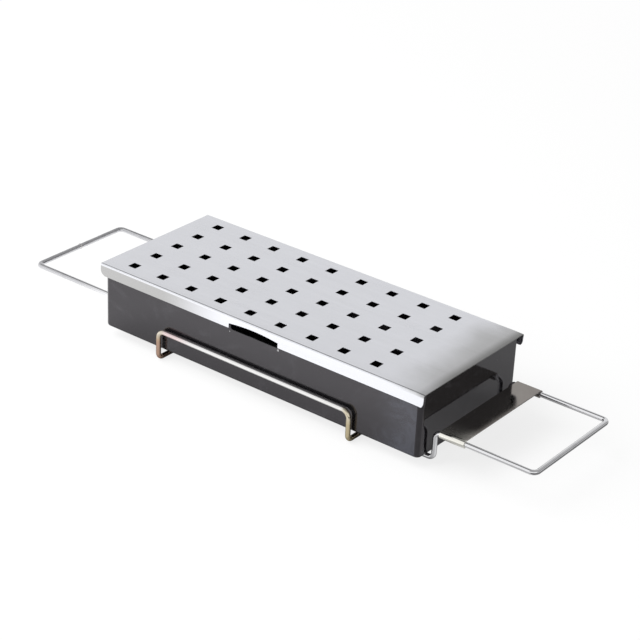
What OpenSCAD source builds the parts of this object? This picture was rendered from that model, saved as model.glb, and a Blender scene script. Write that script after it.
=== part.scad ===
// Grill smoker box: a perforated lid on an enamelled chip tray, carried in a welded wire cradle
// with a handle at each end. Lengths in millimetres, +Z up, origin on the ground under the middle.

/* [Tray] */
// Outside length of the tray, along X
tray_length = 272; // [230:1:340]
// Outside width of the tray, along Y
tray_width = 110; // [100:0.5:150]
// Height of the tray from its underside to its rim
tray_height = 47.6; // [34:0.1:80]
// Thickness of the enamelled steel
tray_wall = 1.0; // [0.6:0.1:1.6]
// Outside radius of the four upright corners
tray_corner_r = 4.0; // [2.1:0.1:10]
// Outside radius of the bottom edge
tray_foot_r = 2.0; // [1.7:0.1:6]
// Depth of the vent notch in the front wall, from the rim
tray_notch_depth = 10; // [6:0.5:16]
// Radius of the notch's lower corners
tray_notch_r = 2.0; // [0.5:0.1:4]

/* [Lid] */
// Thickness of the lid's sheet
lid_sheet = 0.6; // [0.4:0.1:1.2]
// How far the lid passes the tray at each end
lid_overhang = 2.2; // [0.5:0.1:8]
// Gap between the tray's long walls and the lid's skirts
lid_play = 1.4; // [0.5:0.1:2]
// Outside radius of the bend between the top and the skirts
lid_bend_r = 1.4; // [1.3:0.1:4]
// Height of the front and rear skirts, top face included
skirt_height = 9.2; // [8:0.1:16]
// Radius of the skirts' lower end corners
skirt_corner_r = 4.5; // [1:0.1:5.5]

/* [Vent notch] */
// Width of the notch, the same in the lid's front skirt and in the tray's front wall
notch_width = 42; // [20:1:80]
// Drop from the lid's top face to the ends of the notch's arch
notch_end_drop = 5.8; // [5.5:0.1:7.5]
// Rise of the arch above its ends
notch_rise = 1.5; // [0.5:0.1:2.2]

/* [Smoke holes] */
// Side of the square holes
hole_size = 6.7; // [3:0.1:12]
// Spacing of the holes along the lid
hole_pitch_x = 26.2; // [16:0.1:40]
// Spacing of the holes across the lid
hole_pitch_y = 22.0; // [16:0.1:36]
// From the lid's left end to the first column of holes
first_column = 20.2; // [12:0.1:40]
// Least length left plain between the last column and the lid's right end
plain_end = 44; // [12:1:80]
// Least distance from the outer rows to the skirts
row_margin = 8; // [5:0.5:20]

/* [Cradle] */
// Diameter of the wire
wire_d = 3.5; // [2.5:0.1:5]
// Bend radius at the middle of the wire
wire_bend_r = 4.0; // [3.2:0.1:6]
// Distance between the ring's two long wires, centre to centre
handle_width = 87; // [50:1:92]
// From the tray's end to the handle's crossbar
handle_reach = 78.4; // [60:0.1:120]
// Height of the handles, ground to the middle of the wire
handle_height = 24.5; // [21:0.5:32]
// Gap between the tray's ends and the ring's upright wires
end_gap = 2.3; // [1:0.1:8]
// Length of a guard, centre to centre of its uprights
guard_length = 165; // [100:1:190]
// Height of the guards, ground to the middle of the wire
guard_height = 23; // [21:0.5:32]
// Gap between the tray's long walls and the guards
guard_gap = 1.4; // [1:0.1:8]
// Bend radius of the guards' upper corners, at the middle of the wire
guard_corner_r = 5.5; // [3.2:0.1:8]

/* [Grip plate] */
// Thickness of the plate's sheet
plate_sheet = 0.8; // [0.5:0.1:1.5]
// Length of the plate along the handle
plate_depth = 18.8; // [10:0.1:40]
// From the end of the wire's bend to the plate
plate_inset = 0.2; // [0:0.1:6]

/* [Welds] */
// Diameter of the weld nuggets at the crossings
nugget_d = 2.6; // [1.5:0.1:3.4]
// Height of the weld bead that closes each wire loop, above the wire
bead_height = 0.4; // [0.2:0.05:0.5]
// Length of that bead along the wire
bead_length = 2.0; // [1.6:0.1:2.4]

/* [Clearances] */
// Gap between a loose piece and what it rests on
seat_gap = 0.2; // [0.1:0.05:0.5]
// Gap between two crossing wires, bridged by the nugget
weld_gap = 0.1; // [0.05:0.05:0.3]
// Gap between the wire and the plate's sleeves
sleeve_play = 0.1; // [0.05:0.05:0.4]

/* [Hidden] */

// Cuts run this far past the faces they open
past = 1;
// Rounded shapes are laid to this step, so that their bends and flats meet exactly
fit_step = 0.001;
$fn = 64;
// Facets of the wide circle that the notch's shallow arch is cut from
arch_facets = 720;

// Heights, stacked up from the ground
wire_r = wire_d / 2;
cross_z = wire_r;
long_z = cross_z + wire_d + weld_gap;
tray_z = long_z + wire_r + seat_gap;
rim_z = tray_z + tray_height;
lid_top_z = rim_z + seat_gap + lid_sheet;

// The lid is cut to the tray
lid_length = tray_length + 2 * lid_overhang;
lid_width = tray_width + 2 * (lid_play + lid_sheet);
skirt_z = lid_top_z - skirt_height;

// The wires run round the tray
upright_x = tray_length / 2 + end_gap + wire_r;
crossbar_x = tray_length / 2 + handle_reach;
long_y = handle_width / 2;
guard_x = guard_length / 2;
guard_y = tray_width / 2 + guard_gap + wire_r;

// As many columns and rows of holes as the lid has room for
hole_columns = floor((lid_length - first_column - plain_end) / hole_pitch_x) + 1;
rows_each_side = floor((tray_width / 2 - row_margin) / hole_pitch_y);

// The plate is rolled round the wire
sleeve_bore_r = wire_r + sleeve_play;
plate_x = upright_x + wire_bend_r + plate_inset;

// A length brought to the step of the rounded shapes
function on_step(length) = round(length / fit_step) * fit_step;

// Vector along the line from one point to the next, of length one
function heading(from, to) = (to - from) / norm(to - from);

// A vector of length one, square to an axis-aligned direction
function beside(way) = way.z == 0 ? cross([0, 0, 1], way) : [1, 0, 0];

// Places the children with their own axes along three given directions
module in_frame(x_way, y_way, z_way, at)
    multmatrix([
        [x_way.x, y_way.x, z_way.x, at.x],
        [x_way.y, y_way.y, z_way.y, at.y],
        [x_way.z, y_way.z, z_way.z, at.z],
        [0, 0, 0, 1]
    ])
    children();

// Straight round bar between two points
module bar(from, to, radius) {
    way = heading(from, to);
    in_frame(beside(way), cross(way, beside(way)), way, from)
        cylinder(r = radius, h = norm(to - from));
}

// Quarter turn of a round bar at a corner, from one heading to the next
module bend(corner, before, after, bend_r, radius)
    in_frame(-after, before, cross(before, after), corner + bend_r * (after - before))
        rotate_extrude(angle = 90)
            translate([bend_r, 0])
                circle(r = radius);

// Closed wire loop through square corners, each with its own bend radius
module wire_loop(corners, bend_radii, radius) {
    count = len(corners);
    points = [for (corner = corners) [on_step(corner.x), on_step(corner.y), on_step(corner.z)]];
    turns = [for (bend_r = bend_radii) on_step(bend_r)];
    for (i = [0 : count - 1]) {
        next = (i + 1) % count;
        before = heading(points[(i + count - 1) % count], points[i]);
        after = heading(points[i], points[next]);
        bend(points[i], before, after, turns[i], radius);
        bar(points[i] + after * turns[i], points[next] - after * turns[next], radius);
    }
}

// Upright rectangle centred on the Y axis, with its two lower corners rounded
module round_foot_rectangle(width, height, radius) {
    translate([-width / 2, radius])
        square([width, height - radius]);
    translate([-width / 2 + radius, 0])
        square([width - 2 * radius, height]);
    for (side = [-1, 1])
        translate([side * (width / 2 - radius), radius])
            circle(r = radius);
}

// Block along X with the profile drawn in the YZ plane, from one X to another
module along_x(from, to)
    translate([from, 0, 0])
        rotate([90, 0, 90])
            linear_extrude(to - from)
                children();

// Block along Y with the profile drawn in the XZ plane, centred on Y = 0
module along_y(width)
    translate([0, width / 2, 0])
        rotate([90, 0, 0])
            linear_extrude(width)
                children();

// Box on Z = 0 with round upright corners and a round bottom edge
module pan_block(length, width, height, corner_r, foot_r) {
    half_x = on_step(length / 2);
    half_y = on_step(width / 2);
    top = on_step(height);
    turn_r = on_step(corner_r);
    edge_r = min(on_step(foot_r), turn_r);
    along_x(-half_x + turn_r, half_x - turn_r)
        round_foot_rectangle(2 * half_y, top, edge_r);
    along_y(2 * (half_y - turn_r))
        round_foot_rectangle(2 * half_x, top, edge_r);
    for (x = [-1, 1], y = [-1, 1])
        translate([x * (half_x - turn_r), y * (half_y - turn_r), 0])
            rotate_extrude()
                intersection() {
                    round_foot_rectangle(2 * turn_r, top, edge_r);
                    square([turn_r, top]);
                }
}

// Arched opening drawn in the XZ plane: straight ends from the bottom up to an arc
module arch_opening(width, bottom, end_top, rise) {
    arc_r = (width * width / 4 + rise * rise) / (2 * rise);
    intersection() {
        translate([-width / 2, bottom])
            square([width, end_top + rise - bottom]);
        translate([0, end_top + rise - arc_r])
            circle(r = arc_r, $fn = arch_facets);
    }
}

// The lid's folded section, drawn with its top face at the given height
module fold_section(width, height, radius)
    mirror([0, 1])
        round_foot_rectangle(width, height, radius);

module lid() {
    color("gainsboro")
    difference() {
        intersection() {
            translate([0, 0, lid_top_z])
                along_x(-lid_length / 2, lid_length / 2)
                    difference() {
                        fold_section(lid_width, skirt_height, lid_bend_r);
                        translate([0, -lid_sheet])
                            fold_section(lid_width - 2 * lid_sheet, skirt_height, lid_bend_r - lid_sheet);
                    }
            translate([0, 0, skirt_z])
                along_y(lid_width + 2 * past)
                    round_foot_rectangle(lid_length, skirt_height + past, skirt_corner_r);
        }
        translate([0, -lid_width / 2, 0])
            along_y(2 * (lid_sheet + past))
                arch_opening(notch_width, skirt_z - past, lid_top_z - notch_end_drop, notch_rise);
        for (column = [0 : hole_columns - 1], row = [-rows_each_side : rows_each_side])
            translate([
                -lid_length / 2 + first_column + column * hole_pitch_x,
                row * hole_pitch_y,
                lid_top_z
            ])
                cube([hole_size, hole_size, 2 * (lid_sheet + past)], center = true);
    }
}

module tray() {
    color("dimgray")
    difference() {
        translate([0, 0, tray_z])
            pan_block(tray_length, tray_width, tray_height, tray_corner_r, tray_foot_r);
        translate([0, 0, tray_z + tray_wall])
            pan_block(
                tray_length - 2 * tray_wall,
                tray_width - 2 * tray_wall,
                tray_height,
                tray_corner_r - tray_wall,
                tray_foot_r - tray_wall
            );
        translate([0, -tray_width / 2, rim_z - tray_notch_depth])
            along_y(2 * (tray_wall + past))
                round_foot_rectangle(notch_width, tray_notch_depth + past, tray_notch_r);
    }
}

module handle_ring() {
    corners = [
        [crossbar_x, -long_y, handle_height],
        [crossbar_x, long_y, handle_height],
        [upright_x, long_y, handle_height],
        [upright_x, long_y, long_z],
        [-upright_x, long_y, long_z],
        [-upright_x, long_y, handle_height],
        [-crossbar_x, long_y, handle_height],
        [-crossbar_x, -long_y, handle_height],
        [-upright_x, -long_y, handle_height],
        [-upright_x, -long_y, long_z],
        [upright_x, -long_y, long_z],
        [upright_x, -long_y, handle_height]
    ];
    color("silver")
        wire_loop(corners, [for (corner = corners) wire_bend_r], wire_r);
}

module guard_ring() {
    corners = [
        [-guard_x, -guard_y, guard_height],
        [guard_x, -guard_y, guard_height],
        [guard_x, -guard_y, cross_z],
        [guard_x, guard_y, cross_z],
        [guard_x, guard_y, guard_height],
        [-guard_x, guard_y, guard_height],
        [-guard_x, guard_y, cross_z],
        [-guard_x, -guard_y, cross_z]
    ];
    radii = [for (corner = corners) corner.z > cross_z ? guard_corner_r : wire_bend_r];
    color("burlywood")
        wire_loop(corners, radii, wire_r);
}

// One end of the plate's section: a roll of three quarters of a turn, open on its inner upper side
module rolled_end()
    difference() {
        circle(r = sleeve_bore_r + plate_sheet);
        circle(r = sleeve_bore_r);
        square(sleeve_bore_r + plate_sheet + past);
    }

module grip_plate() {
    color("lightgray")
    translate([0, 0, handle_height])
        along_x(plate_x, plate_x + plate_depth) {
            translate([-long_y, sleeve_bore_r])
                square([2 * long_y, plate_sheet]);
            translate([-long_y, 0])
                rolled_end();
            translate([long_y, 0])
                mirror([1, 0])
                    rolled_end();
        }
}

module cross_welds() {
    middle_z = (cross_z + long_z) / 2;
    color("slategray")
    for (x = [-guard_x, guard_x], y = [-long_y, long_y])
        difference() {
            translate([x, y, middle_z])
                cylinder(d = nugget_d, h = wire_r, center = true);
            bar([x - wire_d, y, long_z], [x + wire_d, y, long_z], wire_r);
            bar([x, y - wire_d, cross_z], [x, y + wire_d, cross_z], wire_r);
        }
}

// Low bead round a wire, on the Z axis, with flanks at 45 degrees
module weld_bead()
    rotate_extrude()
        polygon([
            [wire_r, -bead_length / 2],
            [wire_r + bead_height, -bead_length / 2 + bead_height],
            [wire_r + bead_height, bead_length / 2 - bead_height],
            [wire_r, bead_length / 2]
        ]);

module butt_welds() {
    color("slategray") {
        translate([-crossbar_x, 0, handle_height])
            rotate([90, 0, 0])
                weld_bead();
        translate([0, guard_y, guard_height])
            rotate([0, 90, 0])
                weld_bead();
    }
}

lid();
tray();
handle_ring();
guard_ring();
grip_plate();
cross_welds();
butt_welds();
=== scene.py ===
"""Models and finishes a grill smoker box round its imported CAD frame, and sets its studio stage."""

import math

import bmesh
import bpy
from mathutils import Matrix, Vector


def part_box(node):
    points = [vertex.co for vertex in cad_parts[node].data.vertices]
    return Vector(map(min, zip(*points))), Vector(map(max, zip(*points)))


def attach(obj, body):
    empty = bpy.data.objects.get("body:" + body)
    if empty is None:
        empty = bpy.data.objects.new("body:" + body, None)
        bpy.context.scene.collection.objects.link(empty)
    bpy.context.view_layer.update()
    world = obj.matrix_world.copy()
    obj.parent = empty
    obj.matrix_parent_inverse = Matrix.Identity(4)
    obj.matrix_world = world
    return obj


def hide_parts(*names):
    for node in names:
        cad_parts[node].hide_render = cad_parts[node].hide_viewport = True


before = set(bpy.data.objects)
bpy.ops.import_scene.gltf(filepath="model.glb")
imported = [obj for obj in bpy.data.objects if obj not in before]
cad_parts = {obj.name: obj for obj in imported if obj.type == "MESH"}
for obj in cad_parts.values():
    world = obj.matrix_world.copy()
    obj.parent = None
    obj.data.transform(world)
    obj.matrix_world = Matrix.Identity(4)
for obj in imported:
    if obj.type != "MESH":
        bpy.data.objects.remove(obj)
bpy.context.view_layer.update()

bl_info = {
    "name": "Grill smoker box",
    "version": (1, 0, 0),
    "blender": (4, 5, 0),
    "location": "3D View > Sidebar > Smoker box",
    "description": "Models the lid, chip tray and wire cradle of a grill smoker box",
    "category": "Object",
}

MM = 0.001
QUARTER_TURN = math.pi / 2
X_AXIS = Vector((1, 0, 0))
Y_AXIS = Vector((0, 1, 0))
Z_AXIS = Vector((0, 0, 1))
# How near a point lies to a line or plane that it is picked by
NEAR = 0.02 * MM
# How far a cutter runs past what it cuts
PAST = 2 * MM
# Angles between two faces from which their edge is rounded, and up to which it is shaded smooth
ROUNDED_FROM = 0.6
SMOOTH_UP_TO = math.radians(35)
# Steps in the curves of the lid and the tray
FOLD_STEPS = 8
CORNER_STEPS = 8
FOOT_STEPS = 5
NOTCH_STEPS = 6
RIM_STEPS = 3
ARCH_SIDES = 360
# Steps in the curves of the wires, the plate's sleeves and the welds
WIRE_SIDES = 24
BEND_STEPS = 10
SLEEVE_STEPS = 24
LUMP_STEPS = 4
# The lid's plain end is rolled down along so many lines, so far apart
ROLL_LINES = 5
ROLL_SPACING = 2 * MM
# Size of the lumps in the weld metal, and a nugget's height as a share of its width
LUMP_SIZE = 1.2 * MM
NUGGET_HEIGHT = 0.6
# Chips in the enamel: place along the front wall, distance below the notch, and reach
ENAMEL_CHIPS = ((-21.6 * MM, 1.9 * MM, 1.25 * MM), (20.0 * MM, 1.3 * MM, 1.6 * MM))
# Ways from the box: to the lamp, to the studio's dark side, and out past the tray's front right corner
LAMP_WAY = Vector((-0.536, -0.454, 0.711))
DARK_WAY = Vector((0.8, 0.6, 0))
CORNER_WAY = Vector((1, -0.364, 0))
LAMP_DISTANCE = 2.2
# The photo's side in pixels, and the camera's sensor width in millimetres
PHOTO_PIXELS = 640
SENSOR_WIDTH = 36


def length(name, millimetres, description):
    """A size that a user may change, given in millimetres."""
    return bpy.props.FloatProperty(
        name=name, description=description, default=millimetres * MM, min=0, precision=5, unit="LENGTH"
    )


def colour(name, default, description):
    """A colour that a user may change."""
    return bpy.props.FloatVectorProperty(
        name=name, description=description, default=default, min=0, max=1, size=3, subtype="COLOR"
    )


class LidSettings(bpy.types.PropertyGroup):
    """Sizes and finish of the perforated lid."""

    sheet: length("Sheet", 0.6, "Thickness of the lid's sheet")
    bend_radius: length("Bend radius", 1.4, "Outside radius between the top and the skirts")
    skirt_corner: length("Skirt corner", 4.5, "Radius of the skirts' lower end corners")
    hole_side: length("Hole side", 6.7, "Side of the square smoke holes")
    pitch_along: length("Pitch along", 26.2, "Spacing of the holes along the lid")
    pitch_across: length("Pitch across", 22.0, "Spacing of the holes across the lid")
    first_column: length("First column", 20.2, "From the lid's left end to the first holes")
    columns: bpy.props.IntProperty(
        name="Columns", description="Holes along the lid", default=9, min=1
    )
    rows: bpy.props.IntProperty(name="Rows", description="Holes across the lid", default=5, min=1)
    notch_width: length("Notch width", 42, "Width of the vent notch in the front skirt")
    notch_drop: length("Notch drop", 5.8, "From the top face to the ends of the notch's arch")
    notch_rise: length("Notch rise", 1.5, "Rise of the arch above its ends")
    end_roll: bpy.props.FloatProperty(
        name="End roll",
        description="How far the lid's plain end is rolled down",
        default=math.radians(2.5),
        subtype="ANGLE",
    )
    edge: length("Edge", 0.09, "Width of the softened edge of the cut sheet")
    steel: colour("Steel", (0.92, 0.93, 0.98), "Colour of the satin stainless sheet")
    # This colour also gives the painted shade over the top toward the plain end, in place of the darker
    # reflection where the end rolls down
    worn_and_shaded: colour("Worn", (0.56, 0.56, 0.565), "Colour of the sheet where handling has dulled it")
    # Painted shade on the skirts' left part below the bend, in place of a darker reflection there, in a
    # slightly warm grey
    tint: colour("Heat tint", (0.405, 0.40, 0.385), "Colour of the sheet where heat has tinted it")
    # Painted shade along the plain end's last strip, in place of the darker reflection of the
    # rolled-down end
    end_edge_shade: colour("Rubbed", (0.25, 0.25, 0.245), "Colour of the sheet along its plain end")


class TraySettings(bpy.types.PropertyGroup):
    """Sizes and finish of the chip tray."""

    wall: length("Wall", 1.0, "Thickness of the enamelled steel")
    corner_radius: length("Corner radius", 4.0, "Outside radius of the upright corners")
    foot_radius: length("Foot radius", 2.0, "Outside radius of the bottom edge")
    notch_width: length("Notch width", 42, "Width of the vent notch in the front wall")
    notch_depth: length("Notch depth", 10, "Depth of the vent notch from the rim")
    notch_corner: length("Notch corner", 2.0, "Radius of the notch's lower corners")
    edge: length("Edge", 0.3, "Width of the rounding that the enamel gives the rim")
    enamel: colour("Enamel", (0.0055, 0.0053, 0.0062), "Colour of the glossy enamel")
    smear: colour("Smear", (0.032, 0.032, 0.036), "Colour of the dry smears on the enamel")
    # A paler, bluish tone over the front wall's right end, stopping at the corner
    pale_patch: colour("Film", (0.034, 0.038, 0.049), "Colour of the dry film at the front wall's right end")
    chip: colour("Chip", (0.36, 0.36, 0.36), "Colour of the ground coat where the enamel is chipped")


class WireSettings(bpy.types.PropertyGroup):
    """Sizes and finish of the two wire rings."""

    wire: length("Wire", 3.5, "Diameter of the wire")
    bend_radius: length("Bend radius", 4.0, "Bend radius at the middle of the wire")
    guard_corner: length("Guard corner", 5.5, "Bend radius of the guards' upper corners")
    end_gap: length("End gap", 2.3, "Gap between the tray's ends and the upright wires")
    chrome: colour("Chrome", (0.88, 0.88, 0.90), "Colour of the bright wire")
    # This colour also gives the painted shade at the left handle, in place of its darker reflections
    dull_and_shaded: colour("Dull", (0.52, 0.52, 0.54), "Colour of the wire where use has dulled it")
    bright: colour("Bright", (0.89, 0.885, 0.88), "Colour of the guards' bars")
    straw: colour("Straw", (0.62, 0.53, 0.33), "First colour of the heat tint")
    rose: colour("Rose", (0.80, 0.53, 0.54), "Colour of the heat tint on the bars' left ends")
    copper: colour("Copper", (0.52, 0.325, 0.26), "Second colour of the heat tint")
    # Painted shade on the feet under the tray, in place of their shadow and the dark reflection of the
    # tray's underside
    feet_shade: colour("Burnt", (0.10, 0.075, 0.06), "Colour of the feet, which the welding has burnt")


class PlateSettings(bpy.types.PropertyGroup):
    """Sizes and finish of the grip plate."""

    sheet: length("Sheet", 0.8, "Thickness of the plate's sheet")
    edge: length("Edge", 0.12, "Width of the softened edge of the cut sheet")
    steel: colour("Steel", (0.95, 0.935, 0.87), "Colour of the polished sheet")
    # Painted shade on the flat and the far sleeve, in place of the dark reflection of the tray's end
    # wall, in a brownish tone
    tint: colour("Heat tint", (0.27, 0.245, 0.23), "Colour of the plate's tinted end")


class WeldSettings(bpy.types.PropertyGroup):
    """Sizes and finish of the welds."""

    nugget: length("Nugget", 2.9, "Width of the weld metal where the rings cross")
    bead_length: length("Bead length", 3.2, "Length of the beads that close the two rings")
    bead_diameter: length("Bead diameter", 4.3, "Diameter of those beads")
    roughness: length("Roughness", 0.16, "Height of the lumps in the weld metal")
    metal: colour("Metal", (0.72, 0.71, 0.71), "Colour of the weld metal")
    scale: colour("Scale", (0.16, 0.12, 0.10), "Colour of the scale on the welds")


class StageSettings(bpy.types.PropertyGroup):
    """Floor, light and camera."""

    floor_side: bpy.props.FloatProperty(
        name="Floor side", description="Side of the floor", default=12, unit="LENGTH"
    )
    floor: colour("Floor", (0.90, 0.90, 0.90), "Colour of the floor")
    floor_glow: bpy.props.FloatProperty(
        name="Floor glow",
        description="Share of plain white in the floor, the rest shows the shadow",
        default=0.8,
        subtype="FACTOR",
    )
    mirrored_glow: bpy.props.FloatProperty(
        name="Mirrored glow",
        description="Share of plain white in the floor as reflections show it",
        default=0.55,
        subtype="FACTOR",
    )
    ambient: bpy.props.FloatProperty(
        name="Ambient", description="Even light from all round", default=0.44
    )
    key_power: bpy.props.FloatProperty(
        name="Key light", description="Power of the soft lamp", default=75, unit="POWER"
    )
    key_side: bpy.props.FloatProperty(
        name="Key side", description="Side of the soft lamp", default=2.4, unit="LENGTH"
    )


class Value:
    """A number or colour that varies over a surface: the output of a shader node."""

    def __init__(self, paint, socket):
        self.paint = paint
        self.socket = socket

    def maths(self, operation, first, second):
        """The result of a Math node."""
        return self.paint.add("ShaderNodeMath", {"operation": operation}, {0: first, 1: second})

    def __add__(self, other):
        return self.maths("ADD", self, other)

    def __radd__(self, other):
        return self.maths("ADD", other, self)

    def __sub__(self, other):
        return self.maths("SUBTRACT", self, other)

    def __rsub__(self, other):
        return self.maths("SUBTRACT", other, self)

    def __mul__(self, other):
        return self.maths("MULTIPLY", self, other)

    def __rmul__(self, other):
        return self.maths("MULTIPLY", other, self)

    def __abs__(self):
        return self.maths("ABSOLUTE", self, 0)


class Paint:
    """A node tree that is filled from Python expressions."""

    def __init__(self, tree):
        tree.nodes.clear()
        self.tree = tree

    def add(self, kind, settings=None, sockets=None, output=0):
        """Adds a node, with its settings first and then the values or links of its sockets."""
        node = self.tree.nodes.new(kind)
        for name, value in (settings or {}).items():
            setattr(node, name, value)
        for name, value in (sockets or {}).items():
            if isinstance(value, Value):
                self.tree.links.new(value.socket, node.inputs[name])
            else:
                node.inputs[name].default_value = value
        return Value(self, node.outputs[output]) if node.outputs else None

    def place(self):
        """Object coordinates, which are the shared frame's metres."""
        return self.add("ShaderNodeTexCoord", output="Object")

    def axes(self, vector):
        """The three parts of a vector."""
        split = self.add("ShaderNodeSeparateXYZ", None, {0: vector}).socket.node
        return [Value(self, socket) for socket in split.outputs]

    def measure(self, operation, vector, other):
        """The number that a Vector Math node makes of two vectors."""
        sockets = {0: vector, 1: other}
        return self.add("ShaderNodeVectorMath", {"operation": operation}, sockets, "Value")

    def distance(self, vector, point):
        """How far a place lies from a point."""
        return self.measure("DISTANCE", vector, point)

    def along(self, vector, way):
        """How far a place lies along a way."""
        return self.measure("DOT_PRODUCT", vector, way)

    def stretched(self, vector, scale):
        """Coordinates scaled by a different amount along each axis."""
        return self.add("ShaderNodeMapping", None, {"Vector": vector, "Scale": scale})

    def noise(self, vector, scale, detail=3, roughness=0.5, distortion=0):
        """Soft noise between 0 and 1, with its scale in waves per metre."""
        return self.add(
            "ShaderNodeTexNoise",
            None,
            {
                "Vector": vector,
                "Scale": scale,
                "Detail": detail,
                "Roughness": roughness,
                "Distortion": distortion,
            },
        )

    def ramp(self, value, low, high, to_low=0, to_high=1):
        """Goes smoothly from one number to another as the value goes from low to high."""
        return self.add(
            "ShaderNodeMapRange",
            {"interpolation_type": "SMOOTHSTEP"},
            {"Value": value, "From Min": low, "From Max": high, "To Min": to_low, "To Max": to_high},
        )

    def mix(self, share, first, second):
        """Goes from one colour to another."""
        sockets = {0: share, 6: opaque(first), 7: opaque(second)}
        return self.add("ShaderNodeMix", {"data_type": "RGBA"}, sockets, 2)

    def bump(self, height, distance, normal=None):
        """A normal that follows a height, where a height of 1 stands out by the distance."""
        sockets = {"Height": height, "Distance": distance, "Strength": 1.0}
        if normal:
            sockets["Normal"] = normal
        return self.add("ShaderNodeBump", None, sockets)


def opaque(value):
    """A colour with its alpha, or a socket as it is."""
    return value if isinstance(value, Value) else (*value, 1.0)


def surface(name, recipe):
    """A material with one principled shader, whose sockets a recipe gives."""
    material = bpy.data.materials.new(name)
    material.use_nodes = True
    paint = Paint(material.node_tree)
    shader = paint.add("ShaderNodeBsdfPrincipled", None, recipe(paint))
    paint.add("ShaderNodeOutputMaterial", None, {"Surface": shader})
    return material


# In the recipes, the factors in a sum are the shares that its marks have in it,
# and lengths that end in MM are measured in the shared frame or from a piece's box
def satin_steel(lid):
    """Stainless sheet with a grain along X, painted shade on its skirts' left part, and painted shade
    along its plain end, darkest at its edge.
    """

    def recipe(paint):
        low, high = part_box("lid")
        bend = lid.bend_radius
        place = paint.place()
        x, y, z = paint.axes(place)
        grain = paint.noise(paint.stretched(place, (60, 3200, 3200)), 1, detail=4, roughness=0.65)
        streaks = paint.noise(paint.stretched(place, (9, 420, 420)), 1, detail=2)
        waves = paint.noise(paint.stretched(place, (7, 13, 13)), 1, detail=1)
        clouds = paint.noise(place, 17, roughness=0.55, distortion=0.4)
        marks = paint.ramp(paint.noise(place, 48, distortion=0.4), 0.5, 0.85)
        top = paint.ramp(z, high.z - 2 * bend, high.z - bend)
        below_bend = paint.ramp(z, high.z - 0.75 * bend, high.z - 1.45 * bend)
        left = paint.ramp(x + clouds * (20 * MM), -11 * MM, -73 * MM)
        rear = paint.ramp(y, low.y + 3 * MM, low.y + 35 * MM)
        plain_end = paint.ramp(x + clouds * (30 * MM), high.x - 20 * MM, high.x + 12 * MM)
        # Painted shade: the top darker toward its plain end, in place of the darker reflection where
        # the end rolls down; the clouds, streaks, grain and marks are random dulling
        plain_end_shade = plain_end * top * (rear * 0.35 + 0.55)
        wear_and_end_shade = plain_end_shade + clouds * 0.13 + streaks * 0.10 + grain * 0.05 + marks * 0.02 - 0.09
        # Painted shade, darkest along the last strip of the plain end
        last_strip = paint.ramp(x + clouds * (3 * MM), high.x - 6.5 * MM, high.x + 1.5 * MM)
        end_edge_shade = last_strip * top * (rear * 0.5 + 0.5) * 0.9
        sheet = paint.mix(wear_and_end_shade, lid.steel, lid.worn_and_shaded)
        sheet = paint.mix(end_edge_shade, sheet, lid.end_edge_shade)
        # Painted shade, in place of a darker reflection, on the skirts' left part below the bend
        sheet = paint.mix(below_bend * left * 0.8, sheet, lid.tint)
        normal = paint.bump(waves, 0.25 * MM)
        normal = paint.bump(grain, 0.0015 * MM, normal)
        return {
            "Base Color": sheet,
            "Metallic": 1.0,
            "Roughness": grain * 0.06 + streaks * 0.05 + marks * 0.02 + 0.20,
            "Normal": normal,
        }

    return surface("satin_steel", recipe)


def gloss_enamel(tray):
    """Black vitreous enamel with orange peel, pinholes, dry smears, a paler bluish patch at the front
    wall's right end and two chips.
    """

    def recipe(paint):
        low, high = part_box("tray")
        place = paint.place()
        x, y = paint.axes(place)[:2]
        peel = paint.noise(place, 240, detail=2)
        sag = paint.noise(place, 22, detail=2)
        drift = paint.noise(
            paint.stretched(place, (1, 1, 1.6)), 26, detail=5, roughness=0.62, distortion=2.2
        )
        smear = paint.ramp(drift, 0.52, 0.74)
        specks = paint.ramp(paint.noise(place, 620, detail=1), 0.76, 0.80)
        ragged = paint.noise(place, 900, detail=2) * (1.6 * MM)
        notch_bottom = high.z - tray.notch_depth
        chips = 0
        for along, down, reach in ENAMEL_CHIPS:
            away = paint.distance(place, (along, low.y, notch_bottom - down))
            chips = chips + paint.ramp(away + ragged, reach, 0.75 * reach)
        front = paint.ramp(y, low.y + 0.6 * MM, low.y + 0.2 * MM)
        # The front wall paler and bluish toward its right end, up to the corner
        right_end = paint.ramp(x + drift * (20 * MM), 108 * MM, 138 * MM)
        flat_end = high.x - tray.corner_radius
        pale_patch = front * right_end * paint.ramp(x, flat_end + 1 * MM, flat_end)
        patchy = paint.ramp(drift, 0.42, 0.62) * 0.55 + 0.6
        coat = paint.mix(smear * 0.55 + specks * 0.35, tray.enamel, tray.smear)
        coat = paint.mix(pale_patch * patchy, coat, tray.pale_patch)
        coat = paint.mix(chips, coat, tray.chip)
        normal = paint.bump(sag, 0.12 * MM)
        normal = paint.bump(peel, 0.010 * MM, normal)
        normal = paint.bump(0 - specks - chips, 0.05 * MM, normal)
        return {
            "Base Color": coat,
            "Roughness": smear * 0.16 + peel * 0.05 + specks * 0.2 + chips * 0.5 + 0.05,
            "IOR": 1.7,
            "Specular Tint": (0.98, 0.93, 1.0, 1.0),
            "Normal": normal,
        }

    return surface("gloss_enamel", recipe)


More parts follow.
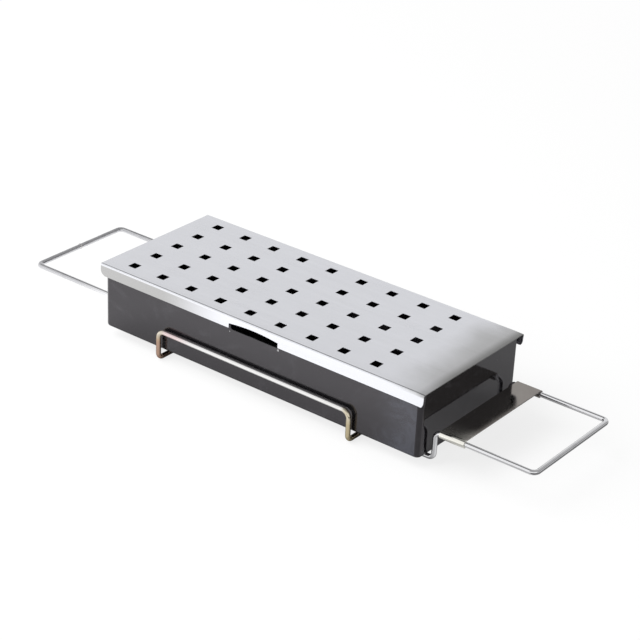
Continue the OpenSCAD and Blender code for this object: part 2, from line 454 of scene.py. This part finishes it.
def bright_wire(wires):
    """Chromed wire with faint drawing lines, tiny specks and random dulling, and painted shade at the
    left handle.
    """

    def recipe(paint):
        left_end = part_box("handle_ring")[0].x
        place = paint.place()
        x = paint.axes(place)[0]
        fog = paint.noise(place, 90, detail=4, roughness=0.6)
        lines = paint.noise(place, 1500, detail=2)
        specks = paint.ramp(paint.noise(place, 700, detail=1), 0.74, 0.80)
        # Painted shade at the left handle, in place of darker reflections there
        shaded_end = paint.ramp(x + fog * (20 * MM), left_end + 90 * MM, left_end + 50 * MM)
        dull_and_shaded = paint.ramp(fog, 0.5, 0.75) * 0.3 + specks * 0.2 + shaded_end * 0.7
        return {
            "Base Color": paint.mix(dull_and_shaded, wires.chrome, wires.dull_and_shaded),
            "Metallic": 1.0,
            "Roughness": fog * 0.06 + specks * 0.1 + shaded_end * 0.22 + 0.05,
            "Normal": paint.bump(lines, 0.0015 * MM),
        }

    return surface("bright_wire", recipe)


def tinted_wire(wires):
    """Wire that welding heat has tinted: rose and straw at the bars' ends and copper legs, with painted
    shade on the feet under the tray.
    """

    def recipe(paint):
        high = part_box("guard_ring")[1]
        place = paint.place()
        x, y, z = paint.axes(place)
        fog = paint.noise(place, 70, detail=4, roughness=0.6)
        fine = paint.noise(place, 1100, detail=2)
        out = paint.ramp(abs(x) + fog * (20 * MM), high.x - 30 * MM, high.x)
        down = paint.ramp(z + fog * (6 * MM), high.z - 1 * MM, high.z - 9 * MM)
        under = paint.ramp(abs(y), high.y - 3 * MM, high.y - 8.5 * MM)
        left = paint.ramp(x, 20 * MM, -60 * MM)
        bar = paint.ramp(abs(x), high.x - 4 * MM, high.x - 10 * MM)
        corner = paint.ramp(abs(x), high.x - 9 * MM, high.x - 3 * MM) * (1 - down) * (1 - left)
        straw = out * (left * 0.5 + 0.04) + down * (0.93 - left * 0.19) + corner * 0.7
        copper = (out * 0.1 + down * 0.8) * (left * 0.87 + 0.06)
        warm = paint.mix(left * bar, wires.straw, wires.rose)
        tinted = paint.mix(straw, wires.bright, warm)
        tinted = paint.mix(copper, tinted, wires.copper)
        # Painted shade on the feet under the tray
        tinted = paint.mix(under * 0.75, tinted, wires.feet_shade)
        return {
            "Base Color": tinted,
            "Metallic": 1.0,
            "Roughness": fog * 0.10 + copper * 0.10 + 0.07,
            "Normal": paint.bump(fine, 0.002 * MM),
        }

    return surface("tinted_wire", recipe)


def polished_plate(plate):
    """Polished sheet with fine rubbing marks along it, and painted shade, a darker brownish reflection,
    on its flat and its far sleeve.
    """

    def recipe(paint):
        low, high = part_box("grip_plate")
        place = paint.place()
        x, y = paint.axes(place)[:2]
        rub = paint.noise(paint.stretched(place, (2600, 70, 2600)), 1, roughness=0.6)
        clouds = paint.noise(place, 60, roughness=0.55, distortion=0.5)
        flat = paint.ramp(abs(y), high.y - 2.7 * MM, high.y - 4 * MM)
        far_end = paint.ramp(y + clouds * (12 * MM), high.y - 30 * MM, high.y - 10 * MM)
        near_end = paint.ramp(y + clouds * (4 * MM), low.y + 26 * MM, low.y + 4 * MM) * flat
        outer = paint.ramp(x + clouds * (4 * MM), high.x - 10 * MM, high.x + 2 * MM) * flat
        # Painted shade: the dark reflection of the tray's end wall, lighter toward the near sleeve
        tint = far_end * 0.9 + (1 - far_end) * flat * (0.85 - near_end * 0.35) + clouds * 0.1
        return {
            "Base Color": paint.mix(tint, plate.steel, plate.tint),
            "Metallic": 1.0,
            "Roughness": rub * 0.05 + clouds * 0.04 + outer * 0.06 + near_end * 0.2 + 0.045,
            "Normal": paint.bump(rub, 0.005 * MM),
        }

    return surface("polished_plate", recipe)


def weld_metal(welds):
    """Rough weld metal with patches of dark scale."""

    def recipe(paint):
        place = paint.place()
        lumps = paint.noise(place, 900, detail=4, roughness=0.6)
        scale = paint.ramp(paint.noise(place, 420), 0.50, 0.68)
        return {
            "Base Color": paint.mix(scale, welds.metal, welds.scale),
            "Metallic": 1 - scale * 0.6,
            "Roughness": lumps * 0.2 + scale * 0.2 + 0.28,
            "Normal": paint.bump(lumps, 0.05 * MM),
        }

    return surface("weld_metal", recipe)


def pale_floor(stage):
    """Floor that is white to the camera, with the shadow, and shaded round the box in reflections."""
    material = bpy.data.materials.new("pale_floor")
    material.use_nodes = True
    paint = Paint(material.node_tree)
    camera = paint.add("ShaderNodeLightPath", output="Is Camera Ray")
    place = paint.place()
    x, y = paint.axes(place)[:2]
    nearby = paint.ramp(paint.distance(place, (0, 0, 0)), 1.3, 0.5)
    past_bar = paint.ramp(x, 203 * MM, 235 * MM)
    aside = paint.ramp(paint.along(place, DARK_WAY), 20 * MM, 200 * MM)
    beside = paint.ramp(abs(y), 120 * MM, 62 * MM) * paint.ramp(abs(x), 160 * MM, 120 * MM)
    under = paint.ramp(abs(y), 66 * MM, 60 * MM) * paint.ramp(abs(x), 150 * MM, 135 * MM)
    past_corner = paint.ramp(paint.along(place, CORNER_WAY), 148 * MM, 164 * MM)
    off_corner = past_corner * paint.ramp(y, -45 * MM, -60 * MM)
    # Painted shade in the floor as reflections show it: what each of these takes from the floor's glow
    fall = (1 - aside * 0.85) * (1.1 - beside * 0.62) * (1 - under * 0.9) * (1 - off_corner * 0.97)
    seen_glow = 1 - nearby * (1 - stage.floor_glow)
    mirrored_glow = stage.mirrored_glow + past_bar * (1 - stage.mirrored_glow)
    share = seen_ray(paint) * (1 - camera) * mirrored_glow + camera * seen_glow
    cloudy = paint.noise(place, 3)
    lit = paint.mix(cloudy * 0.2, stage.floor, [part * 0.98 for part in stage.floor])
    plain = paint.add("ShaderNodeBsdfDiffuse", None, {"Color": lit})
    glow = paint.add("ShaderNodeEmission", None, {"Color": camera + (1 - camera) * fall})
    both = paint.add("ShaderNodeMixShader", None, {0: share, 1: plain, 2: glow})
    paint.add("ShaderNodeOutputMaterial", None, {"Surface": both})
    return material


def seen_ray(paint):
    """One for a ray that shows the background: straight, mirrored or through glass."""
    camera, glossy, through = (
        paint.add("ShaderNodeLightPath", output=name)
        for name in ("Is Camera Ray", "Is Glossy Ray", "Is Transmission Ray")
    )
    return camera.maths("MAXIMUM", camera, glossy.maths("MAXIMUM", glossy, through))


def studio_world(stage):
    """White to the camera. Reflections show a backdrop, a dim ceiling, a dark flag and a soft box."""
    world = bpy.data.worlds.new("studio")
    world.use_nodes = True
    paint = Paint(world.node_tree)
    way = paint.add("ShaderNodeTexCoord", output="Generated")
    x, y, height = paint.axes(way)
    camera = paint.add("ShaderNodeLightPath", output="Is Camera Ray")
    seen = seen_ray(paint)
    # Brightness of the mirrored studio, by the way that a reflection looks
    backdrop = paint.ramp(y, -0.4, 0.3, to_low=0.95, to_high=0.77)
    ceiling = paint.ramp(x, -0.45, -0.15, to_low=0.19, to_high=0.4)
    overhead = paint.ramp(height, 0.54, 0.70)
    flag = paint.ramp(paint.along(way, DARK_WAY), 0.55, 0.85) * paint.ramp(height, -0.05, 0.36)
    room = overhead * ceiling + (1 - overhead) * backdrop * (1 - flag * 0.62)
    soft_box = paint.ramp(paint.along(way, LAMP_WAY), 0.92, 0.965)
    mirrored = camera + (1 - camera) * (soft_box * 0.92 + (1 - soft_box) * room)
    strength = seen * mirrored + (1 - seen) * stage.ambient
    light = paint.add("ShaderNodeBackground", None, {"Color": strength})
    paint.add("ShaderNodeOutputWorld", None, {"Surface": light})
    bpy.context.scene.world = world


def clear_selection():
    """Leaves edit mode and selects nothing."""
    if bpy.context.mode != "OBJECT":
        bpy.ops.object.mode_set(mode="OBJECT")
    bpy.ops.object.select_all(action="DESELECT")


def start_piece(name, add_primitive, stretch=(1, 1, 1), **sizes):
    """Adds a primitive with its place and size in its mesh, ready to be shaped."""
    clear_selection()
    add_primitive(**sizes)
    piece = bpy.context.active_object
    piece.name = name
    piece.data.name = name
    piece.scale = stretch
    bpy.ops.object.transform_apply(location=True, rotation=True, scale=True)
    return piece


def start_box(name, low, high):
    """A block between two corners."""
    low, high = Vector(low), Vector(high)
    return start_piece(
        name, bpy.ops.mesh.primitive_cube_add, size=1, location=(low + high) / 2, stretch=high - low
    )


def edit(kind):
    """Goes into edit mode, picking vertices, edges or faces."""
    bpy.ops.object.mode_set(mode="EDIT")
    bpy.ops.mesh.select_mode(type=kind)


def pick(kind, test):
    """Selects the vertices and edges that pass a test, or the faces whose middle does."""
    edit(kind)
    bpy.ops.mesh.select_all(action="DESELECT")
    mesh = bmesh.from_edit_mesh(bpy.context.active_object.data)
    places = {
        "VERT": {vertex: [vertex.co] for vertex in mesh.verts},
        "EDGE": {line: [end.co for end in line.verts] for line in mesh.edges},
        "FACE": {face: [face.calc_center_median()] for face in mesh.faces},
    }
    for item, points in places[kind].items():
        if all(test(point) for point in points):
            item.select_set(True)
    mesh.select_flush_mode()
    bmesh.update_edit_mesh(bpy.context.active_object.data)


def pick_lines(test):
    """Selects the edges whose two ends pass a test together."""
    edit("EDGE")
    bpy.ops.mesh.select_all(action="DESELECT")
    mesh = bmesh.from_edit_mesh(bpy.context.active_object.data)
    for line in mesh.edges:
        if test(*(end.co for end in line.verts)):
            line.select_set(True)
    bmesh.update_edit_mesh(bpy.context.active_object.data)


def near(value, target):
    """Whether two numbers are the same, as far as picking goes."""
    return abs(value - target) < NEAR


def cut_line(point, normal, **settings):
    """Cuts the whole mesh along a plane."""
    edit("VERT")
    bpy.ops.mesh.select_all(action="SELECT")
    bpy.ops.mesh.bisect(plane_co=point, plane_no=normal, **settings)


def pull(offset):
    """Extrudes what is picked."""
    bpy.ops.mesh.extrude_region_move(TRANSFORM_OT_translate={"value": offset})


def sweep(angle, centre, axis, steps):
    """Spins what is picked about an axis, counter-clockwise: the operator itself turns clockwise."""
    bpy.ops.mesh.spin(steps=steps, angle=-angle, center=centre, axis=axis)


def finish_with(piece, kind, **settings):
    """Adds a modifier and applies it."""
    clear_selection()
    piece.select_set(True)
    bpy.context.view_layer.objects.active = piece
    modifier = piece.modifiers.new(kind.lower(), kind)
    for name, value in settings.items():
        setattr(modifier, name, value)
    bpy.ops.object.modifier_apply(modifier=modifier.name)


def cut_with(piece, cutter):
    """Takes a cutter's shape out of a piece and removes the cutter."""
    finish_with(piece, "BOOLEAN", operation="DIFFERENCE", solver="EXACT", object=cutter)
    bpy.data.objects.remove(cutter)


def soften(piece, width, segments=2):
    """Rounds the sharp edges a little and shades the rest smooth."""
    limit = {"limit_method": "ANGLE", "angle_limit": ROUNDED_FROM}
    finish_with(piece, "BEVEL", width=width, segments=segments, **limit)
    bpy.ops.object.shade_smooth_by_angle(angle=SMOOTH_UP_TO)
    finish_with(piece, "WEIGHTED_NORMAL", keep_sharp=True)


def hand_over(piece, node, body, material):
    """Gives a piece its material and puts it in the place of its CAD node."""
    clear_selection()
    piece.data.materials.clear()
    piece.data.materials.append(material)
    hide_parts(node)
    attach(piece, body)


def model_lid(lid):
    """A flat sheet, punched, folded down along both sides, rolled at its plain end and notched."""
    low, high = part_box("lid")
    fold_y = high.y - lid.bend_radius
    piece = start_piece(
        "smoker_lid",
        bpy.ops.mesh.primitive_plane_add,
        size=1,
        location=((low.x + high.x) / 2, 0, high.z),
        stretch=(high.x - low.x, 2 * fold_y, 1),
    )
    half = lid.hole_side / 2
    columns = [low.x + lid.first_column + i * lid.pitch_along for i in range(lid.columns)]
    rows = [(i - (lid.rows - 1) / 2) * lid.pitch_across for i in range(lid.rows)]
    for x in columns:
        cut_line((x - half, 0, 0), X_AXIS)
        cut_line((x + half, 0, 0), X_AXIS)
    for y in rows:
        cut_line((0, y - half, 0), Y_AXIS)
        cut_line((0, y + half, 0), Y_AXIS)

    def in_hole(point):
        along = any(abs(point.x - x) < half + NEAR for x in columns)
        return along and any(abs(point.y - y) < half + NEAR for y in rows)

    pick("FACE", in_hole)
    bpy.ops.mesh.delete(type="FACE")
    roll_lines = [high.x - step * ROLL_SPACING for step in range(ROLL_LINES, 0, -1)]
    for x in roll_lines:
        cut_line((x, 0, 0), X_AXIS)
    for side in (-1, 1):
        pick("EDGE", lambda point: near(point.y, side * fold_y))
        sweep(-side * QUARTER_TURN, (0, side * fold_y, high.z - lid.bend_radius), X_AXIS, FOLD_STEPS)
        pull((0, 0, low.z - high.z + lid.bend_radius))
    pick("VERT", lambda point: near(point.z, low.z) and (near(point.x, low.x) or near(point.x, high.x)))
    bpy.ops.mesh.bevel(affect="VERTICES", offset=lid.skirt_corner, segments=CORNER_STEPS)
    for x in roll_lines:
        pick("VERT", lambda point: point.x > x + NEAR)
        bpy.ops.transform.rotate(
            value=-lid.end_roll / len(roll_lines), orient_axis="Y", center_override=(x, 0, high.z)
        )
    finish_with(piece, "SOLIDIFY", thickness=lid.sheet, offset=-1, use_even_offset=True)
    cut_with(piece, arch_cutter(lid, low, high))
    soften(piece, lid.edge)
    return piece


def arch_cutter(lid, low, high):
    """Block as wide as the vent notch, with an arched top."""
    half = lid.notch_width / 2
    radius = (half * half + lid.notch_rise ** 2) / (2 * lid.notch_rise)
    top = high.z - lid.notch_drop + lid.notch_rise
    cutter = start_piece(
        "arch_cutter",
        bpy.ops.mesh.primitive_cylinder_add,
        vertices=ARCH_SIDES,
        radius=radius,
        depth=2 * (lid.sheet + PAST),
        location=(0, low.y, top - radius),
        rotation=(QUARTER_TURN, 0, 0),
    )
    for point, normal in (
        ((-half, 0, 0), -X_AXIS),
        ((half, 0, 0), X_AXIS),
        ((0, 0, low.z - PAST), -Z_AXIS),
    ):
        cut_line(point, normal, use_fill=True, clear_outer=True)
    return cutter


def model_tray(tray):
    """A block opened at the top, its edges rounded, given its wall and notched in front."""
    low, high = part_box("tray")
    piece = start_box("chip_tray", low, high)
    pick("FACE", lambda point: near(point.z, high.z))
    bpy.ops.mesh.delete(type="ONLY_FACE")
    pick_lines(lambda one, other: not near(one.z, other.z))
    bpy.ops.mesh.bevel(offset=tray.corner_radius, segments=CORNER_STEPS)
    pick("EDGE", lambda point: near(point.z, low.z))
    bpy.ops.mesh.bevel(offset=tray.foot_radius, segments=FOOT_STEPS)
    finish_with(piece, "SOLIDIFY", thickness=tray.wall, offset=-1, use_even_offset=True)
    half = tray.notch_width / 2
    bottom = high.z - tray.notch_depth
    cutter = start_box(
        "notch_cutter",
        (-half, low.y - PAST, bottom),
        (half, low.y + tray.wall + PAST, high.z + PAST),
    )
    pick_lines(
        lambda one, other: near(one.x, other.x) and near(one.z, bottom) and near(other.z, bottom)
    )
    bpy.ops.mesh.bevel(offset=tray.notch_corner, segments=NOTCH_STEPS)
    cut_with(piece, cutter)
    soften(piece, tray.edge, RIM_STEPS)
    return piece


def bend_wire(name, corners, radii, wire):
    """Draws a round wire along straight runs and quarter bends, back to where it started."""
    corners = [Vector(corner) for corner in corners]
    start = (corners[-1] + corners[0]) / 2
    heading = (corners[0] - corners[-1]).normalized()
    piece = start_piece(
        name,
        bpy.ops.mesh.primitive_circle_add,
        vertices=WIRE_SIDES,
        radius=wire / 2,
        location=start,
        rotation=heading.to_track_quat("Z", "Y").to_euler(),
    )
    edit("VERT")
    bpy.ops.mesh.select_all(action="SELECT")
    at = start
    for i, corner in enumerate(corners):
        after = (corners[(i + 1) % len(corners)] - corner).normalized()
        pull(corner - heading * radii[i] - at)
        centre = corner + (after - heading) * radii[i]
        sweep(QUARTER_TURN, centre, heading.cross(after), BEND_STEPS)
        at = corner + after * radii[i]
        heading = after
    pull(start - at)
    bpy.ops.mesh.select_all(action="SELECT")
    bpy.ops.mesh.remove_doubles(threshold=NEAR)
    bpy.ops.mesh.normals_make_consistent(inside=False)
    clear_selection()
    piece.select_set(True)
    bpy.ops.object.shade_smooth()
    return piece


def model_handle_ring(wires):
    """One loop: a handle at each end and two long wires under the tray."""
    low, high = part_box("handle_ring")
    radius = wires.wire / 2
    crossbar, side = high.x - radius, high.y - radius
    top, bottom = high.z - radius, low.z + radius
    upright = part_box("tray")[1].x + wires.end_gap + radius
    half = [
        (crossbar, -side, top),
        (crossbar, side, top),
        (upright, side, top),
        (upright, side, bottom),
        (-upright, side, bottom),
        (-upright, side, top),
    ]
    corners = half + [(-x, -y, z) for x, y, z in half]
    return bend_wire("handle_wire", corners, [wires.bend_radius] * len(corners), wires.wire)


def model_guard_ring(wires):
    """One loop: a guard along each side and two feet under the tray."""
    low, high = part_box("guard_ring")
    radius = wires.wire / 2
    end, side = high.x - radius, high.y - radius
    top, bottom = high.z - radius, low.z + radius
    half = [(-end, -side, top), (end, -side, top), (end, -side, bottom), (end, side, bottom)]
    corners = half + [(-x, -y, z) for x, y, z in half]
    radii = [wires.guard_corner if near(corner[2], top) else wires.bend_radius for corner in corners]
    return bend_wire("guard_wire", corners, radii, wires.wire)


def model_plate(plate):
    """A flat sheet whose two ends are rolled round the handle's wires."""
    low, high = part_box("grip_plate")
    roll = (high.z - low.z) / 2
    side = high.y - roll
    piece = start_piece(
        "grip_sheet",
        bpy.ops.mesh.primitive_plane_add,
        size=1,
        location=((low.x + high.x) / 2, 0, high.z),
        stretch=(high.x - low.x, 2 * side, 1),
    )
    for end in (-1, 1):
        pick("EDGE", lambda point: near(point.y, end * side) and near(point.z, high.z))
        sweep(-end * 3 * QUARTER_TURN, (0, end * side, high.z - roll), X_AXIS, SLEEVE_STEPS)
    finish_with(piece, "SOLIDIFY", thickness=plate.sheet, offset=-1, use_even_offset=True)
    soften(piece, plate.edge)
    return piece


def weld_lump(name, size, place, roughness):
    """A lump of weld metal, squashed to a size and roughened."""
    # A ball 1 m across, so that its stretch is its size
    lump = start_piece(
        name,
        bpy.ops.mesh.primitive_ico_sphere_add,
        subdivisions=LUMP_STEPS,
        radius=0.5,
        stretch=size,
    )
    lumps = bpy.data.textures.new(name, "CLOUDS")
    lumps.noise_scale = LUMP_SIZE
    finish_with(
        lump, "DISPLACE", texture=lumps, texture_coords="LOCAL", strength=roughness, mid_level=0.5
    )
    bpy.ops.object.shade_smooth()
    lump.location = place
    bpy.ops.object.transform_apply(location=True, rotation=True, scale=True)
    return lump


def join(name, lumps):
    """Makes one piece of several."""
    clear_selection()
    for lump in lumps:
        lump.select_set(True)
    bpy.context.view_layer.objects.active = lumps[0]
    bpy.ops.object.join()
    piece = bpy.context.active_object
    piece.name = name
    piece.data.name = name
    return piece


def model_cross_welds(welds, wires):
    """Four lumps, where the two rings cross under the tray."""
    radius = wires.wire / 2
    ring_low, ring_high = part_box("handle_ring")
    guard_low, guard_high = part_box("guard_ring")
    end, side = guard_high.x - radius, ring_high.y - radius
    height = (ring_low.z + guard_low.z + wires.wire) / 2
    size = (welds.nugget, welds.nugget, NUGGET_HEIGHT * welds.nugget)
    lumps = [
        weld_lump("nugget", size, (x, y, height), welds.roughness)
        for x in (-end, end)
        for y in (-side, side)
    ]
    return join("ring_welds", lumps)


def model_butt_welds(welds, wires):
    """Two beads that close the two loops of wire."""
    radius = wires.wire / 2
    ring_low, ring_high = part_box("handle_ring")
    guard_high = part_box("guard_ring")[1]
    across = (welds.bead_diameter, welds.bead_length, welds.bead_diameter)
    along = (welds.bead_length, welds.bead_diameter, welds.bead_diameter)
    on_handle = (ring_low.x + radius, 0, ring_high.z - radius)
    on_guard = (0, guard_high.y - radius, guard_high.z - radius)
    beads = [
        weld_lump("bead", across, on_handle, welds.roughness),
        weld_lump("bead", along, on_guard, welds.roughness),
    ]
    return join("loop_welds", beads)


def aim_camera():
    """Camera at the photo's angle: turned, raised and rolled as fitted, aimed past the lid's middle."""
    turn, rise, roll = math.radians(36.9228), math.radians(27.1562), math.radians(2.8304)
    focal_pixels = 1949.889
    distance, aside, below = 1322.039 * MM, 8.712 * MM, -15.4687 * MM
    back = Vector(
        (math.sin(turn) * math.cos(rise), -math.cos(turn) * math.cos(rise), math.sin(rise))
    )
    level = Z_AXIS.cross(back).normalized()
    upright = back.cross(level)
    right = level * math.cos(roll) + upright * math.sin(roll)
    up = upright * math.cos(roll) - level * math.sin(roll)
    place = Vector((0, 0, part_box("lid")[1].z)) + right * aside + up * below + back * distance
    data = bpy.data.cameras.new("photo_camera")
    data.sensor_width = SENSOR_WIDTH
    data.lens = SENSOR_WIDTH * focal_pixels / PHOTO_PIXELS
    camera = bpy.data.objects.new("photo_camera", data)
    camera.matrix_world = Matrix.Translation(place) @ Matrix((right, up, back)).transposed().to_4x4()
    bpy.context.scene.collection.objects.link(camera)
    bpy.context.scene.camera = camera


def set_lamp(stage):
    """One large soft lamp, high in front and to the left, that reflections don't show."""
    data = bpy.data.lights.new("soft_lamp", "AREA")
    data.size = stage.key_side
    data.energy = stage.key_power
    lamp = bpy.data.objects.new("soft_lamp", data)
    away = LAMP_WAY.normalized()
    turned = away.to_track_quat("Z", "Y").to_matrix().to_4x4()
    lamp.matrix_world = Matrix.Translation(away * LAMP_DISTANCE) @ turned
    lamp.visible_glossy = False
    bpy.context.scene.collection.objects.link(lamp)


class SMOKER_OT_lid(bpy.types.Operator):
    """Models the perforated lid"""

    bl_idname = "smoker.lid"
    bl_label = "Lid"

    def execute(self, context):
        lid = context.scene.smoker_lid
        hand_over(model_lid(lid), "lid", "lid", satin_steel(lid))
        return {"FINISHED"}


class SMOKER_OT_tray(bpy.types.Operator):
    """Models the enamelled chip tray"""

    bl_idname = "smoker.tray"
    bl_label = "Chip tray"

    def execute(self, context):
        tray = context.scene.smoker_tray
        hand_over(model_tray(tray), "tray", "tray", gloss_enamel(tray))
        return {"FINISHED"}


class SMOKER_OT_wires(bpy.types.Operator):
    """Bends the two wire rings of the cradle"""

    bl_idname = "smoker.wires"
    bl_label = "Wire rings"

    def execute(self, context):
        wires = context.scene.smoker_wires
        hand_over(
            model_handle_ring(wires), "handle_ring", "cradle", bright_wire(wires)
        )
        hand_over(
            model_guard_ring(wires), "guard_ring", "cradle", tinted_wire(wires)
        )
        return {"FINISHED"}


class SMOKER_OT_plate(bpy.types.Operator):
    """Rolls the grip plate round the right handle"""

    bl_idname = "smoker.plate"
    bl_label = "Grip plate"

    def execute(self, context):
        plate = context.scene.smoker_plate
        hand_over(
            model_plate(plate), "grip_plate", "cradle", polished_plate(plate)
        )
        return {"FINISHED"}


class SMOKER_OT_welds(bpy.types.Operator):
    """Lays the welds that hold the cradle together"""

    bl_idname = "smoker.welds"
    bl_label = "Welds"

    def execute(self, context):
        welds, wires = context.scene.smoker_welds, context.scene.smoker_wires
        metal = weld_metal(welds)
        hand_over(model_cross_welds(welds, wires), "cross_welds", "cradle", metal)
        hand_over(model_butt_welds(welds, wires), "butt_welds", "cradle", metal)
        return {"FINISHED"}


class SMOKER_OT_stage(bpy.types.Operator):
    """Sets the floor, the light and the camera"""

    bl_idname = "smoker.stage"
    bl_label = "Stage"

    def execute(self, context):
        stage = context.scene.smoker_stage
        floor = start_piece("floor", bpy.ops.mesh.primitive_plane_add, size=stage.floor_side)
        floor.data.materials.append(pale_floor(stage))
        studio_world(stage)
        set_lamp(stage)
        aim_camera()
        context.scene.view_settings.view_transform = "Standard"
        return {"FINISHED"}


class SMOKER_PT_panel(bpy.types.Panel):
    """Lists the smoker box's pieces and their settings"""

    bl_idname = "SMOKER_PT_panel"
    bl_label = "Smoker box"
    bl_space_type = "VIEW_3D"
    bl_region_type = "UI"
    bl_category = "Smoker box"

    def draw(self, context):
        for operator, holder in STEPS:
            box = self.layout.box()
            box.operator(operator.bl_idname)
            settings = getattr(context.scene, holder)
            for name in settings.__annotations__:
                box.prop(settings, name)


SETTINGS = {
    "smoker_lid": LidSettings,
    "smoker_tray": TraySettings,
    "smoker_wires": WireSettings,
    "smoker_plate": PlateSettings,
    "smoker_welds": WeldSettings,
    "smoker_stage": StageSettings,
}
STEPS = (
    (SMOKER_OT_lid, "smoker_lid"),
    (SMOKER_OT_tray, "smoker_tray"),
    (SMOKER_OT_wires, "smoker_wires"),
    (SMOKER_OT_plate, "smoker_plate"),
    (SMOKER_OT_welds, "smoker_welds"),
    (SMOKER_OT_stage, "smoker_stage"),
)
CLASSES = (*SETTINGS.values(), *(operator for operator, holder in STEPS), SMOKER_PT_panel)


def register():
    """Makes the settings, the operators and the panel known to Blender."""
    for each in CLASSES:
        bpy.utils.register_class(each)
    for holder, settings in SETTINGS.items():
        setattr(bpy.types.Scene, holder, bpy.props.PointerProperty(type=settings))


def unregister():
    """Takes the settings, the operators and the panel out of Blender."""
    for holder in SETTINGS:
        delattr(bpy.types.Scene, holder)
    for each in reversed(CLASSES):
        bpy.utils.unregister_class(each)


def main():
    register()
    bpy.ops.smoker.lid()
    bpy.ops.smoker.tray()
    bpy.ops.smoker.wires()
    bpy.ops.smoker.plate()
    bpy.ops.smoker.welds()
    bpy.ops.smoker.stage()


if __name__ == "__main__":
    main()
